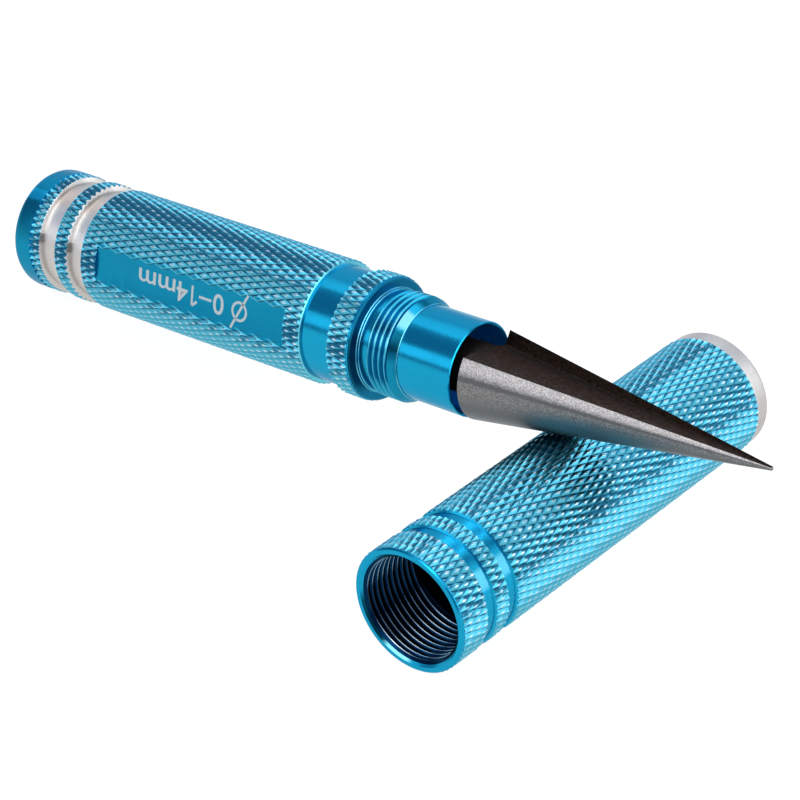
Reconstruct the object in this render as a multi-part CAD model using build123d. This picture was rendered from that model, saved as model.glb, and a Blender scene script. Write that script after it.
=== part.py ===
from build123d import *
from math import atan2, cos, degrees, radians, sin, tan
import os

# A pocket cone reamer for sheet metal, opened: a knurled handle with its half-round
# tapered blade, and the knurled screw cap that it is leaned on. All sizes in millimetres.

# Grip, shared by the handle and the cap
grip_radius = 9.5               # crests of the knurl

# Handle, from its rounded butt forwards
butt_rounding = 1.7
butt_band_length = 4.15         # smooth band at the butt
rear_knurl_length = 1.9
rear_groove_width = 3.65
middle_knurl_length = 2.45
front_groove_width = 3.25
handle_groove_depth = 0.9
handle_groove_chamfer = 0.45
main_knurl_length = 44.76
waist_length = 5.44
waist_depth = 0.7
waist_chamfer = 0.35
collar_length = 3.4
collar_bevel_length = 0.7
collar_bevel_depth = 0.45

# Flat on the handle that carries the size mark
flat_start = 18.45              # from the butt
flat_length = 38.5
flat_depth = 0.6
flat_turn = 14.0                # degrees above level, on the front side

# Screw spigot and hollow nose in front of the collar
thread_radius = 8.0
neck_length = 1.9
neck_depth = 0.45
thread_length = 4.3
lead_in_length = 1.0
lead_in_depth = 0.7
nose_radius = 7.08
nose_length = 9.5
nose_bore_radius = 6.7
nose_bore_depth = 8.0
rim_chamfer = 0.12

# Blade
blade_radius = 7.0              # marked range, up to 14 mm
blade_length = 48.15
tip_radius = 0.3
base_gap = 1.5                  # bare shank between the nose and the cone
shank_radius = 4.0
shank_seat_depth = 18.0
shank_clearance = 0.05

# Flute across the base of the cone; it shrinks with the cone towards the tip
near_edge_turn = 43.0           # degrees over level at the front, to the nearer edge
far_edge_turn = 141.0           # the same, on over the top to the cutting edge
floor_crown_height = 4.25       # floor of the flute above the axis, beside the middle
floor_crown_offset = 0.75
flute_root_height = 2.45        # bottom of the flute, close under the far edge
flute_root_offset = 4.15
flute_root_rounding = 0.45

# Cap, from its mouth backwards
mouth_bevel = 0.3
mouth_knurl_length = 5.2
cap_groove_width = 2.25
cap_groove_depth = 0.5
cap_groove_chamfer = 0.2
cap_middle_knurl_length = 2.3
cap_main_knurl_length = 57.0
end_band_length = 3.1
end_band_depth = 0.15
end_rounding = 1.0
cap_bore_radius = 7.35
cap_bore_depth = 68.6
cap_thread_clearance = 0.1
cap_thread_length = 10.0
mouth_chamfer_length = 0.5
mouth_chamfer_depth = 0.45

# How the pieces lie
lean = 8.37                     # degrees that the reamer rises towards its tip
cap_crossing = 36.9             # from the mouth of the cap to where the blade crosses it
rest_gap = 0.2                  # between the blade and the cap below it

# Stations along the handle, worked out from the lengths above
rear_groove_start = butt_band_length + rear_knurl_length
front_groove_start = rear_groove_start + rear_groove_width + middle_knurl_length
main_knurl_start = front_groove_start + front_groove_width
waist_start = main_knurl_start + main_knurl_length
collar_start = waist_start + waist_length
collar_face = collar_start + collar_length + collar_bevel_length
thread_start = collar_face + neck_length
lead_in_start = thread_start + thread_length
nose_start = lead_in_start + lead_in_length
rim_station = nose_start + nose_length
nose_bore_floor = rim_station - nose_bore_depth
shank_end = nose_bore_floor - shank_seat_depth
blade_base = rim_station + base_gap
blade_tip = blade_base + blade_length
cone_half_angle = degrees(atan2(blade_radius - tip_radius, blade_length))
cone_apex = blade_base + blade_radius / tan(radians(cone_half_angle))

# Stations along the cap
cap_groove_1 = mouth_knurl_length
cap_groove_2 = cap_groove_1 + cap_groove_width + cap_middle_knurl_length
end_band_start = cap_groove_2 + cap_groove_width + cap_main_knurl_length
cap_length = end_band_start + end_band_length


def revolved(points):
    """Turn a closed profile of (radius, station) corners about the Z axis."""
    profile = make_face(Polyline(*[(r, 0, z) for r, z in points], close=True))
    return revolve(profile, Axis.Z)


def ring_groove(start, width, depth, chamfer):
    """Cutter for a turned groove with sloped shoulders, from the grip's surface inwards."""
    outside = grip_radius + depth
    floor = grip_radius - depth
    shoulder = grip_radius - chamfer
    end = start + width
    return revolved([
        (outside, start), (grip_radius, start), (shoulder, start + chamfer),
        (floor, start + chamfer), (floor, end - chamfer), (shoulder, end - chamfer),
        (grip_radius, end), (outside, end),
    ])


def handle_body():
    """Turned outline of the handle, from the butt to the rim of the nose."""
    waist_radius = grip_radius - waist_depth
    neck_radius = thread_radius - neck_depth
    lead_in_radius = thread_radius - lead_in_depth
    body = revolved([
        (0, 0), (grip_radius, 0), (grip_radius, waist_start - waist_chamfer),
        (grip_radius - waist_chamfer, waist_start), (waist_radius, waist_start),
        (waist_radius, collar_start), (grip_radius, collar_start),
        (grip_radius, collar_start + collar_length),
        (grip_radius - collar_bevel_depth, collar_face), (neck_radius, collar_face),
        (neck_radius, thread_start), (thread_radius, thread_start),
        (thread_radius, lead_in_start), (lead_in_radius, nose_start),
        (nose_radius, nose_start), (nose_radius, rim_station), (0, rim_station),
    ])
    butt_edge = body.edges().filter_by(GeomType.CIRCLE).sort_by(Axis.Z)[0]
    return fillet(butt_edge, butt_rounding)


def marking_flat():
    """Cutter for the long flat milled into the knurl."""
    width = 2 * grip_radius
    cutter = Pos(grip_radius - flat_depth, 0, flat_start) * Box(
        width, width, flat_length, align=(Align.MIN, Align.CENTER, Align.MIN))
    return Rot(0, 0, 180 - flat_turn) * cutter


def make_handle():
    """Handle in its own frame: axis along Z, butt at the origin, top +Y, front -X."""
    handle = handle_body()
    handle -= ring_groove(rear_groove_start, rear_groove_width,
                          handle_groove_depth, handle_groove_chamfer)
    handle -= ring_groove(front_groove_start, front_groove_width,
                          handle_groove_depth, handle_groove_chamfer)
    handle -= marking_flat()
    nose_bore = Pos(0, 0, nose_bore_floor) * Cylinder(
        nose_bore_radius, nose_bore_depth, align=(Align.CENTER, Align.CENTER, Align.MIN))
    shank_bore = Pos(0, 0, shank_end) * Cylinder(
        shank_radius + shank_clearance, shank_seat_depth,
        align=(Align.CENTER, Align.CENTER, Align.MIN))
    handle -= nose_bore + shank_bore
    rim_edges = handle.edges().filter_by(GeomType.CIRCLE).group_by(Axis.Z)[-1]
    return chamfer(rim_edges, rim_chamfer)


def flute_section(scale):
    """Outline of the flute's cutter at one station, as a share of its size at the base."""
    def on_cone(turn):
        return (-blade_radius * cos(radians(turn)), blade_radius * sin(radians(turn)))

    near_edge, far_edge = on_cone(near_edge_turn), on_cone(far_edge_turn)
    crown = (-floor_crown_offset, floor_crown_height)
    root = (flute_root_offset, flute_root_height)
    above = 2 * blade_radius
    floor = ThreePointArc(near_edge, crown, root)
    wall = Line(root, far_edge)
    # both cut lines run on past the cone, so that no skin is left along the edges
    far_out = tuple(f + (f - r) for f, r in zip(far_edge, root))
    near_out = (-above, near_edge[1])
    outline = Polyline(near_edge, near_out, (-above, above), (above, above), far_out, far_edge)
    section = make_face([floor, wall, *outline.edges()])
    root_corner = section.vertices().sort_by_distance(root)[0]
    section = fillet(root_corner, flute_root_rounding)
    return section.scale(scale)


def flute_cutter():
    """The flute: its section drawn in towards the apex of the cone."""
    past_tip = blade_tip + tip_radius
    before_base = blade_base - tip_radius
    reach = cone_apex - blade_base
    back = Pos(0, 0, before_base) * flute_section((cone_apex - before_base) / reach)
    front = Pos(0, 0, past_tip) * flute_section((cone_apex - past_tip) / reach)
    return loft([back, front], ruled=True)


def make_blade():
    """Half-round tapered blade with its plain shank, in the handle's frame."""
    cone = revolved([
        (0, blade_base), (blade_radius, blade_base), (tip_radius, blade_tip), (0, blade_tip),
    ])
    cone -= flute_cutter()
    shank = Pos(0, 0, shank_end) * Cylinder(
        shank_radius, blade_base - shank_end, align=(Align.CENTER, Align.CENTER, Align.MIN))
    return cone + shank


def make_cap():
    """Screw cap in its own frame: mouth at the origin, closed end towards +Z."""
    end_radius = grip_radius - end_band_depth
    body = revolved([
        (0, 0), (grip_radius - mouth_bevel, 0), (grip_radius, mouth_bevel),
        (grip_radius, end_band_start), (end_radius, end_band_start),
        (end_radius, cap_length), (0, cap_length),
    ])
    end_edge = body.edges().filter_by(GeomType.CIRCLE).sort_by(Axis.Z)[-1]
    body = fillet(end_edge, end_rounding)
    for start in (cap_groove_1, cap_groove_2):
        body -= ring_groove(start, cap_groove_width, cap_groove_depth, cap_groove_chamfer)

    thread_bore_radius = thread_radius + cap_thread_clearance
    thread_end = mouth_chamfer_length + cap_thread_length
    return body - revolved([
        (0, 0), (thread_bore_radius + mouth_chamfer_depth, 0),
        (thread_bore_radius, mouth_chamfer_length), (thread_bore_radius, thread_end),
        (cap_bore_radius, thread_end), (cap_bore_radius, cap_bore_depth), (0, cap_bore_depth),
    ])


def butt_height():
    """Height of the handle's axis over the rounding on which its butt stands."""
    return (grip_radius - butt_rounding) * cos(radians(lean)) + butt_rounding


def cap_distance():
    """Level distance from the butt's rounding to the cap, so that the cone rests on it."""
    rise = radians(lean + cone_half_angle)
    apex_reach = cone_apex - butt_rounding
    over_cap = grip_radius + rest_gap
    drop = butt_height() - grip_radius + apex_reach * sin(radians(lean))
    return apex_reach * cos(radians(lean)) + (over_cap - drop * cos(rise)) / sin(rise)


def place_reamer(piece):
    """Turn a piece of the reamer from its own frame onto the surface, tip towards +X."""
    on_rounding = Pos(0, 0, -butt_rounding) * piece
    leaning = Plane(origin=(0, 0, butt_height()),
                    x_dir=(0, 1, 0),
                    z_dir=(cos(radians(lean)), 0, sin(radians(lean))))
    return leaning * on_rounding


def place_cap(piece):
    """Lay the cap on its side under the blade, mouth towards -Y."""
    lying = Plane(origin=(cap_distance(), -cap_crossing, grip_radius),
                  x_dir=(1, 0, 0), z_dir=(0, 1, 0))
    return lying * piece


def make_all():
    """All pieces as they lie, about an origin at the middle of the box's underside."""
    pieces = {
        "handle": place_reamer(make_handle()),
        "reamer_blade": place_reamer(make_blade()),
        "cap": place_cap(make_cap()),
    }
    box = Compound(list(pieces.values())).bounding_box()
    middle = box.center()
    return {name: Pos(-middle.X, -middle.Y, -box.min.Z) * p for name, p in pieces.items()}


os.makedirs("parts", exist_ok=True)
for node, shape in make_all().items():
    export_step(shape, f"parts/{node}.step")
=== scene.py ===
"""Pocket cone reamer for sheet metal: a knurled handle with its tapered blade, laid across its cap.

Sizes are in metres, as Blender's are. Every piece of the reamer and of the cap is modelled
about the Z axis, from station 0 upwards, and is then turned to where the frame holds it.
"""

import math
from contextlib import contextmanager

import bmesh
import bpy
from mathutils import Matrix, Vector


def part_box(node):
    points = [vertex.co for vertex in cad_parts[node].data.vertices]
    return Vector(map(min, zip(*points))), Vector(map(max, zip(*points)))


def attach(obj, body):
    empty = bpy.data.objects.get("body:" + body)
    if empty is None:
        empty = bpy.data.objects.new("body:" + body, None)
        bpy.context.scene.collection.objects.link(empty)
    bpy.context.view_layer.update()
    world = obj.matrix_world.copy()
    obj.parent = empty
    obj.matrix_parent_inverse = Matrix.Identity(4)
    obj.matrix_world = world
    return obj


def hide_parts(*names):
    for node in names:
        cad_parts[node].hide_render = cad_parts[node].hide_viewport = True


bl_info = {
    "name": "Sheet metal reamer",
    "version": (1, 0, 0),
    "blender": (4, 5, 0),
    "location": "View3D > Sidebar > Reamer",
    "description": "Models a pocket cone reamer and its cap around a fixed frame",
    "category": "Object",
}

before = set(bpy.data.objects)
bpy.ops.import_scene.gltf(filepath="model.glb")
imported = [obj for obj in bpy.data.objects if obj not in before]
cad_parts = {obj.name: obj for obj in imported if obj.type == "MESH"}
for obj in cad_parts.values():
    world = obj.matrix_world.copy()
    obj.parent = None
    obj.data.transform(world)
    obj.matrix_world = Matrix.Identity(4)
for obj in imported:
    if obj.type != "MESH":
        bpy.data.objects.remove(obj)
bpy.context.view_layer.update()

MM = 0.001
BODY = "root"

# How finely round shapes are drawn
TURN_STEPS = 192
THREAD_STEPS = 96
RING_STEPS = 48
FLOOR_STEPS = 28
LETTER_STEPS = 6
CORNER_STEPS = 5

# Points nearer than the first are merged, and nearer than the second are picked
MERGE_DISTANCE = 0.002 * MM
PICK_DISTANCE = 0.004 * MM

# Faces that meet at less than this are shaded smooth
SMOOTH_ANGLE = math.radians(30)
# The flute cutter's faces that turn to the back by more than this make the flute's wall
WALL_FACING = 0.05

# Allowances between a piece, its neighbours and its tools
HAIR = 0.01 * MM                # takes in a face that lies right on a limit
CLEARANCE = 0.05 * MM           # round the shank, and over a thread's crests
PAINTED_HIGHLIGHT_BEVEL = 0.07 * MM           # size of the bevels that are painted pale as a highlight
NEAR = 0.1 * MM                 # how far from a groove's floor its faces are looked for
OVERLAP = 0.2 * MM              # how far one piece reaches under another, or a tool over its work
SPARE = 0.3 * MM                # how far a blank or a cutter runs on past the cut
RUN_ON = 0.5 * MM               # how far a threaded rod does


def length(mm, name, description):
    """A length property whose default is given in millimetres."""
    return bpy.props.FloatProperty(name=name, description=description, default=mm * MM,
                                   unit="LENGTH", precision=5, min=0.0)


def angle(degrees, name, description):
    """An angle property whose default is given in degrees."""
    return bpy.props.FloatProperty(name=name, description=description,
                                   default=math.radians(degrees), unit="ROTATION")


def share(value, name, description):
    """A property from 0 to 1."""
    return bpy.props.FloatProperty(name=name, description=description, default=value,
                                   min=0.0, max=1.0, subtype="FACTOR")


def colour(red, green, blue, name, description):
    """A linear colour property."""
    return bpy.props.FloatVectorProperty(name=name, description=description, size=3,
                                         default=(red, green, blue), min=0.0, max=1.0,
                                         subtype="COLOR")


class GripSizes(bpy.types.PropertyGroup):
    """The knurled grip that the handle and the cap share."""
    radius: length(9.5, "Grip radius", "Radius over the crests of the knurl")
    starts: bpy.props.IntProperty(name="Knurl starts", default=54, min=8,
                                  description="Number of diamonds around the grip")
    diamond_length: length(3.2, "Diamond length", "Length of one knurl diamond along the axis")
    knurl_depth: length(0.28, "Knurl depth", "From the crests to the floor of the knurl")
    crest_share: share(0.24, "Crest share", "Size of a diamond's flat crest against its base")
    brow_share: share(0.38, "Brow share", "Size of a diamond where its crest starts to round off")
    brow_height: share(0.84, "Brow height", "Height of that place against the knurl's depth")
    wall_depth: length(1.0, "Sleeve depth", "How deep each knurled ring reaches under its crests")


class HandleSizes(bpy.types.PropertyGroup):
    """The handle, from its butt forwards."""
    butt_rounding: length(1.7, "Butt rounding", "Radius of the rounding at the butt")
    butt_band: length(4.15, "Butt band", "Length of the smooth band at the butt")
    rear_knurl: length(1.9, "Rear knurl", "Length of the knurled ring beside the butt band")
    rear_groove: length(3.65, "Rear groove", "Width of the bare groove nearer the butt")
    middle_knurl: length(2.45, "Middle knurl", "Length of the knurled ring between the grooves")
    front_groove: length(3.25, "Front groove", "Width of the bare groove farther from the butt")
    groove_depth: length(0.9, "Groove depth", "Depth of the bare grooves")
    groove_slope: length(0.45, "Groove slope", "Run of the sloped walls of the bare grooves")
    main_knurl: length(44.76, "Main knurl", "Length of the main knurl")
    waist: length(5.44, "Waist", "Length of the smooth waist")
    waist_depth: length(0.7, "Waist depth", "Depth of the waist under the knurl's crests")
    waist_chamfer: length(0.35, "Waist chamfer", "Size of the chamfer at the waist's edge")
    collar: length(3.6, "Collar", "Length of the knurled collar")
    collar_front: length(0.5, "Collar front", "From the collar's knurl to the collar's face")
    collar_ring_depth: length(0.22, "Collar ring depth", "Depth of the smooth ring in front")
    collar_bevel: length(0.25, "Collar bevel", "Size of the bevel on the smooth ring")
    boss_radius: length(7.95, "Boss radius", "Radius of the stepped boss on the collar's face")
    boss_step: length(0.2, "Boss step", "Drop from each of its two steps to the next")
    boss_height: length(0.29, "Boss height", "Height of each step")
    neck: length(1.9, "Neck", "Length of the neck behind the thread")
    neck_depth: length(0.45, "Neck depth", "Depth of the neck under the thread's crests")
    thread: length(3.7, "Thread", "Length of the thread")
    thread_radius: length(8.0, "Thread radius", "Radius over the thread's crests")
    land: length(1.6, "Land", "From the end of the thread to the nose")
    land_start: length(0.35, "Land start", "From the end of the thread to the sloping land")
    land_high: length(0.12, "Land high side", "Drop from the thread's crests to the land")
    land_low: length(0.76, "Land low side", "The same beside the nose")
    nose: length(9.5, "Nose", "Length of the smooth hollow nose")
    nose_radius: length(7.08, "Nose radius", "Outer radius of the nose")
    nose_bore: length(6.7, "Nose bore", "Radius of the hollow in the nose")
    nose_bore_depth: length(8.0, "Nose bore depth", "Depth of the hollow in the nose")
    rim_chamfer: length(0.15, "Rim chamfer", "Size of the chamfer at the rim of the nose")
    flat_start: length(18.45, "Flat start", "From the butt to the flat with the size mark")
    flat_length: length(38.5, "Flat length", "Length of the flat with the size mark")
    flat_depth: length(0.6, "Flat depth", "Depth of the flat under the knurl's crests")
    flat_turn: angle(14.0, "Flat turn", "How far the flat faces above level, on the front side")
    lean: angle(8.37, "Lean", "How far the reamer rises towards its tip")


class BladeSizes(bpy.types.PropertyGroup):
    """The half-round tapered blade and its shank."""
    radius: length(7.0, "Base radius", "Radius of the cone at its base")
    length: length(48.15, "Blade length", "Length of the cone")
    tip_radius: length(0.3, "Tip radius", "Radius of the cone at its tip")
    base_gap: length(1.5, "Base gap", "Bare shank between the nose and the cone")
    shank_radius: length(4.0, "Shank radius", "Radius of the shank")
    shank_seat: length(18.0, "Shank seat", "How deep the shank sits under the nose's hollow")
    near_edge_turn: angle(43.0, "Near edge", "From level at the front to the nearer edge")
    far_edge_turn: angle(141.0, "Far edge", "From level at the front to the cutting edge")
    crown_height: length(4.25, "Crown height", "Height of the flute's floor beside its middle")
    crown_offset: length(0.75, "Crown offset", "From the middle to the crown, to the front")
    root_height: length(2.45, "Root height", "Height of the flute's root")
    root_offset: length(4.15, "Root offset", "From the middle to the root, to the back")
    root_rounding: length(0.45, "Root rounding", "Rounding at the flute's root")


class CapSizes(bpy.types.PropertyGroup):
    """The screw cap, from its mouth backwards."""
    mouth_bevel: length(0.3, "Mouth bevel", "Drop of the bevel round the mouth")
    mouth_land: length(0.35, "Mouth land", "From the mouth to the knurl")
    mouth_land_depth: length(0.1, "Mouth land depth", "Depth of that land under the crests")
    mouth_knurl: length(5.2, "Mouth knurl", "From the mouth to the first groove")
    groove: length(2.25, "Groove", "Width of a smooth groove")
    groove_depth: length(0.5, "Groove depth", "Depth of a smooth groove")
    groove_slope: length(0.3, "Groove slope", "Run of the sloped walls of a smooth groove")
    middle_knurl: length(2.3, "Middle knurl", "Length of the knurled ring between the grooves")
    main_knurl: length(57.0, "Main knurl", "Length of the main knurl")
    end_band: length(3.1, "End band", "Length of the bare band at the closed end")
    end_band_depth: length(0.15, "End band depth", "Depth of the bare band under the crests")
    end_rounding: length(1.0, "End rounding", "Rounding of the closed end")
    bore_radius: length(7.35, "Bore radius", "Radius of the plain bore")
    bore_depth: length(68.6, "Bore depth", "Depth of the bore")
    thread_radius: length(8.2, "Thread radius", "Radius at the roots of the inner thread")
    thread_depth: length(0.45, "Thread depth", "From the roots of the inner thread to its crests")
    thread: length(10.2, "Thread", "Length of the inner thread")
    mouth_chamfer: length(0.3, "Mouth chamfer", "Length of the chamfer inside the mouth")
    mouth_chamfer_depth: length(0.35, "Mouth chamfer depth", "Width of that chamfer")


class ThreadSizes(bpy.types.PropertyGroup):
    """The form of the screw thread on the spigot and in the cap."""
    pitch: length(1.05, "Pitch", "From one crest to the next")
    depth: length(0.55, "Depth", "From crest to root")
    crest: share(0.16, "Crest width", "Width of the crest against the pitch")
    root: share(0.26, "Root width", "Width of the root against the pitch")
    spigot_start: length(0.69, "Spigot start", "How far behind the thread its first root starts")
    cap_start: length(0.837, "Cap start", "How far outside the mouth the cap's first root starts")


class MarkSizes(bpy.types.PropertyGroup):
    """The size mark on the flat. Along is measured from the butt, across from the flat's middle."""
    figure_height: length(3.15, "Figure height", "Height of the figures")
    letter_height: length(2.0, "Letter height", "Height of the small letters")
    baseline: length(1.65, "Baseline", "From the flat's middle up to the line of the feet")
    ring_along: length(48.05, "Ring place", "From the butt to the middle of the ring sign")
    ring_width: length(3.1, "Ring width", "Width of the ring sign along the handle")
    stroke: length(0.4, "Stroke", "Thickness of the strokes")
    boldness: share(0.010, "Boldness", "How much the letters are thickened, against their size")
    slash: length(6.5, "Slash", "Length of the slash through the ring sign")
    slash_lean: angle(28.6, "Slash lean", "Lean of the slash from upright")
    dash_height: share(0.45, "Dash height", "Height of the dash against the figures")
    flag_height: share(0.86, "Flag height", "Height of the one's flag against the figures")
    flag_lean: angle(40.0, "Flag lean", "Lean of the one's flag from level")
    zero: length(43.85, "Zero place", "From the butt to the middle of the zero")
    zero_width: length(2.1, "Zero width", "Width of the zero")
    dash: length(41.15, "Dash place", "From the butt to the middle of the dash")
    dash_width: length(2.5, "Dash width", "Length of the dash")
    one: length(38.8, "One place", "From the butt to the middle of the one")
    one_width: length(1.2, "One width", "Width of the one")
    four: length(36.45, "Four place", "From the butt to the middle of the four")
    four_width: length(2.3, "Four width", "Width of the four")
    unit: length(31.2, "Unit place", "From the butt to the middle of the unit's letters")
    unit_width: length(7.6, "Unit width", "Width of the unit's letters")
    thickness: length(0.012, "Thickness", "How far the mark stands off the flat")


class Finishes(bpy.types.PropertyGroup):
    """Colours of the finishes."""
    anodised: colour(0.010, 0.34, 0.56, "Anodised blue", "Colour of the anodised aluminium")
    flank: colour(0.075, 0.395, 0.53, "Knurl's flanks", "Colour of the knurl between crest and root")
    # pale knurl crests are partly wear and partly a painted highlight; the same colour paints the
    # highlights along the cap thread's crests
    wear_and_highlight: colour(0.58, 0.68, 0.73, "Worn crests", "Colour where the knurl's crests are worn pale")
    # painted highlight along sharp turned edges and bevels
    edge: colour(0.16, 0.62, 0.72, "Pale edges", "Colour along sharp turned edges")
    # painted shade: the collar's face is darker than the rest of the blue
    face: colour(0.008, 0.19, 0.34, "Collar face", "Colour of the collar's face")
    glint: colour(0.17, 0.50, 0.53, "Glint", "Colour where a turned edge shines palest")
    shade: colour(0.001, 0.02, 0.06, "Shaded blue", "Colour in the roots and inside the cap")
    bare: colour(0.66, 0.63, 0.60, "Bare aluminium", "Colour of the turned grooves and end band")
    steel: colour(0.285, 0.28, 0.275, "Ground steel", "Colour of the ground cone")
    # painted shade on the cone's underside
    steel_below: colour(0.085, 0.115, 0.135, "Steel below", "Colour of the cone's underside")
    # a painted highlight, in a band along the flute's near edge
    land: colour(0.63, 0.575, 0.545, "Ground land", "Colour of the cone beside the flute's near edge")
    flute: colour(0.078, 0.067, 0.063, "Flute", "Colour of the flute's dark floor")
    flute_wall: colour(0.036, 0.022, 0.016, "Flute wall", "Warm tint of the flute's wall")
    mark: colour(0.43, 0.48, 0.49, "Size mark", "Colour of the size mark")
    floor: colour(0.1, 0.1, 0.1, "Floor", "How much light the floor throws back")
    floor_glow: colour(0.93, 0.93, 0.93, "Floor glow", "Light from the floor itself, a light table")


class Studio(bpy.types.PropertyGroup):
    """Camera and light."""
    azimuth: angle(38.052, "Azimuth", "Turn of the camera from straight in front, to the right")
    elevation: angle(34.886, "Elevation", "Height of the camera above level")
    roll: angle(3.029, "Roll", "Turn of the camera about its line of sight")
    distance: length(447.3, "Distance", "From the camera to the point it is aimed at")
    aim: bpy.props.FloatVectorProperty(name="Aim", description="Point that the camera looks at",
                                       size=3, default=(0.00455, 0.00096, 0.00962),
                                       subtype="TRANSLATION", unit="LENGTH")
    lens: bpy.props.FloatProperty(name="Lens", description="Focal length in millimetres",
                                  default=137.12, min=1.0)
    floor_size: length(6000.0, "Floor size", "Width of the floor")
    world_light: bpy.props.FloatProperty(name="Room light", default=0.45, min=0.0,
                                         description="Brightness of the room around the object")
    world_colour: colour(0.52, 0.7, 1.0, "Room colour", "Colour of the room's light")


SETTINGS = {
    "reamer_grip": GripSizes,
    "reamer_handle": HandleSizes,
    "reamer_blade": BladeSizes,
    "reamer_cap": CapSizes,
    "reamer_thread": ThreadSizes,
    "reamer_mark": MarkSizes,
    "reamer_finish": Finishes,
    "reamer_studio": Studio,
}


def settings(name):
    """One of the scene's groups of settings."""
    return getattr(bpy.context.scene, "reamer_" + name)


# Places along the handle and the cap, worked out from the sizes

def stations(*steps):
    """Stations by name. A step is (name, its distance from the one before)."""
    at, reached = {}, 0.0
    for name, step in steps:
        reached = at[name] = reached + step
    return at


def handle_stations():
    """Stations along the handle and the blade, from the butt."""
    h, b = settings("handle"), settings("blade")
    at = stations(
        ("butt_end", h.butt_band), ("rear_groove", h.rear_knurl), ("middle_knurl", h.rear_groove),
        ("front_groove", h.middle_knurl), ("main_knurl", h.front_groove), ("waist", h.main_knurl),
        ("collar", h.waist), ("collar_end", h.collar), ("collar_face", h.collar_front),
        ("thread", h.neck), ("thread_end", h.thread), ("nose", h.land), ("rim", h.nose),
        ("blade_base", b.base_gap), ("blade_tip", b.length))
    at["bore_floor"] = at["rim"] - h.nose_bore_depth
    at["shank_end"] = at["bore_floor"] - b.shank_seat
    return at


def cap_stations():
    """Stations along the cap, from its mouth."""
    c = settings("cap")
    at = stations(
        ("groove_1", c.mouth_knurl), ("middle_knurl", c.groove), ("groove_2", c.middle_knurl),
        ("main_knurl", c.groove), ("end_band", c.main_knurl), ("end", c.end_band))
    at["knurl"] = c.mouth_land
    at["thread_end"] = c.mouth_chamfer + c.thread
    return at


def reamer_place():
    """From the handle's own axis to where the frame holds it: X to the back, Y up, Z to the tip."""
    h, grip = settings("handle"), settings("grip")
    low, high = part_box("handle")
    arm = grip.radius - h.butt_rounding
    on_rounding = Vector((low.x + arm * math.sin(h.lean) + h.butt_rounding,
                          (low.y + high.y) / 2,
                          low.z + arm * math.cos(h.lean) + h.butt_rounding))
    rise = math.pi / 2 - h.lean
    turn = Matrix.Rotation(rise, 4, "Y") @ Matrix.Rotation(math.pi / 2, 4, "Z")
    return Matrix.Translation(on_rounding) @ turn @ Matrix.Translation((0, 0, -h.butt_rounding))


def cap_place():
    """From the cap's own axis to where the frame holds it, on its side with the mouth in front."""
    low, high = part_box("cap")
    mouth = Vector(((low.x + high.x) / 2, low.y, (low.z + high.z) / 2))
    return Matrix.Translation(mouth) @ Matrix.Rotation(-math.pi / 2, 4, "X")


# Modelling

def deselect_all():
    """Leave no object selected."""
    if bpy.context.object and bpy.context.object.mode != "OBJECT":
        bpy.ops.object.mode_set(mode="OBJECT")
    bpy.ops.object.select_all(action="DESELECT")


def select_only(piece):
    """Make one piece the selected and active one."""
    deselect_all()
    piece.select_set(True)
    bpy.context.view_layer.objects.active = piece


def named(name):
    """Name the piece that was just added."""
    piece = bpy.context.object
    piece.name = piece.data.name = name
    return piece


@contextmanager
def editing(piece):
    """Edit mode on one piece, with all of it selected."""
    select_only(piece)
    bpy.ops.object.mode_set(mode="EDIT")
    bpy.ops.mesh.select_all(action="SELECT")
    yield
    bpy.ops.object.mode_set(mode="OBJECT")


def pick(kind, test):
    """In edit mode, select only the vertices or edges that pass a test of their place."""
    bpy.ops.mesh.select_mode(type=kind)
    bpy.ops.mesh.select_all(action="DESELECT")
    mesh = bpy.context.object.data
    shape = bmesh.from_edit_mesh(mesh)
    for part in {"VERT": shape.verts, "EDGE": shape.edges}[kind]:
        if test(part):
            part.select_set(True)
    shape.select_flush_mode()
    bmesh.update_edit_mesh(mesh)


def pick_edges(axis, place):
    """In edit mode, select only the edges that lie in one plane across an axis."""
    pick("EDGE", lambda e: all(abs(getattr(v.co, axis) - place) < PICK_DISTANCE for v in e.verts))


def merge_and_face_outwards():
    """In edit mode, close the seams and turn every face outwards."""
    bpy.ops.mesh.select_mode(type="VERT")
    bpy.ops.mesh.select_all(action="SELECT")
    bpy.ops.mesh.remove_doubles(threshold=MERGE_DISTANCE)
    bpy.ops.mesh.delete_loose()
    bpy.ops.mesh.select_all(action="SELECT")
    bpy.ops.mesh.normals_make_consistent(inside=False)


def draw_line(name, points):
    """A line through points, drawn from one vertex."""
    deselect_all()
    bpy.ops.mesh.primitive_plane_add(size=MM)
    piece = named(name)
    with editing(piece):
        bpy.ops.mesh.merge(type="CENTER")
        bpy.ops.transform.translate(value=points[0])
        for before, after in zip(points, points[1:]):
            bpy.ops.mesh.extrude_region_move(TRANSFORM_OT_translate={"value": after - before})
    return piece


def draw_profile(name, corners):
    """A line of (radius, station) corners in the XZ plane."""
    return draw_line(name, [Vector((radius, 0, station)) for radius, station, *_ in corners])


def round_corner(radius, station, rounding):
    """In edit mode, round one corner of a profile."""
    place = Vector((radius, 0, station))
    pick("VERT", lambda v: (v.co - place).length < PICK_DISTANCE)
    bpy.ops.mesh.bevel(affect="VERTICES", offset=rounding, segments=CORNER_STEPS)


def lathe(name, corners, *materials):
    """Spin a closed profile about Z. A corner is (radius, station) or (radius, station, rounding)."""
    piece = draw_profile(name, [*corners, corners[0]])
    with editing(piece):
        bpy.ops.mesh.remove_doubles(threshold=MERGE_DISTANCE)
        for corner in corners:
            if len(corner) == 3:
                round_corner(*corner)
        bpy.ops.mesh.select_all(action="SELECT")
        bpy.ops.mesh.spin(steps=TURN_STEPS, angle=math.tau, center=(0, 0, 0), axis=(0, 0, 1))
        merge_and_face_outwards()
    for material in materials:
        piece.data.materials.append(material)
    return piece


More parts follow.
